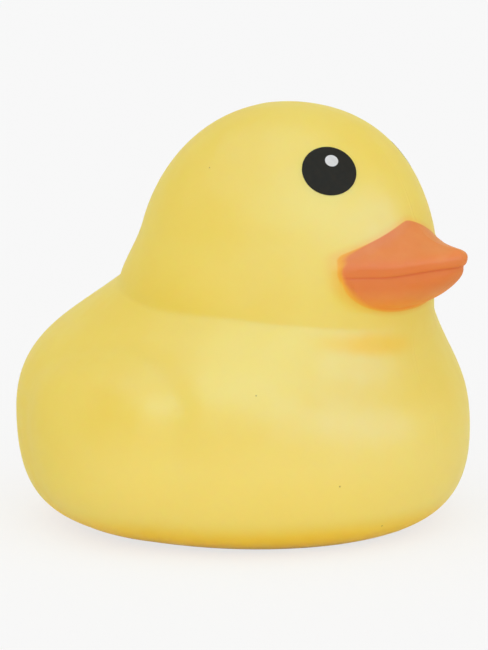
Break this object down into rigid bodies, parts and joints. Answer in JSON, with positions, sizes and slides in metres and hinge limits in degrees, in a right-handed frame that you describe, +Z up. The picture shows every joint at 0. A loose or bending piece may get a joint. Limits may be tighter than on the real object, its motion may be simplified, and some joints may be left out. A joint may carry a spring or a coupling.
{
  "type": "squishy toy duck",
  "caption": "Soft one-piece toy duck with a bun-shaped body on a flat base, a domed head, a short wide bill, round printed eyes and low moulded wings.",
  "frame": {"origin": "on the flat base, under the middle of the body", "axes": "+X the way the duck faces, +Y to its left, +Z up"},
  "size_m": [0.085, 0.0822, 0.074],
  "materials": {
    "skin_rubber": "satin, slightly translucent yellow rubber, with the bill sprayed orange",
    "eye_ink": "printed black ink",
    "glint_ink": "printed pale grey ink"
  },
  "bodies": {
    "root": {"duck_moulding": "skin_rubber"}
  },
  "joints": []
}
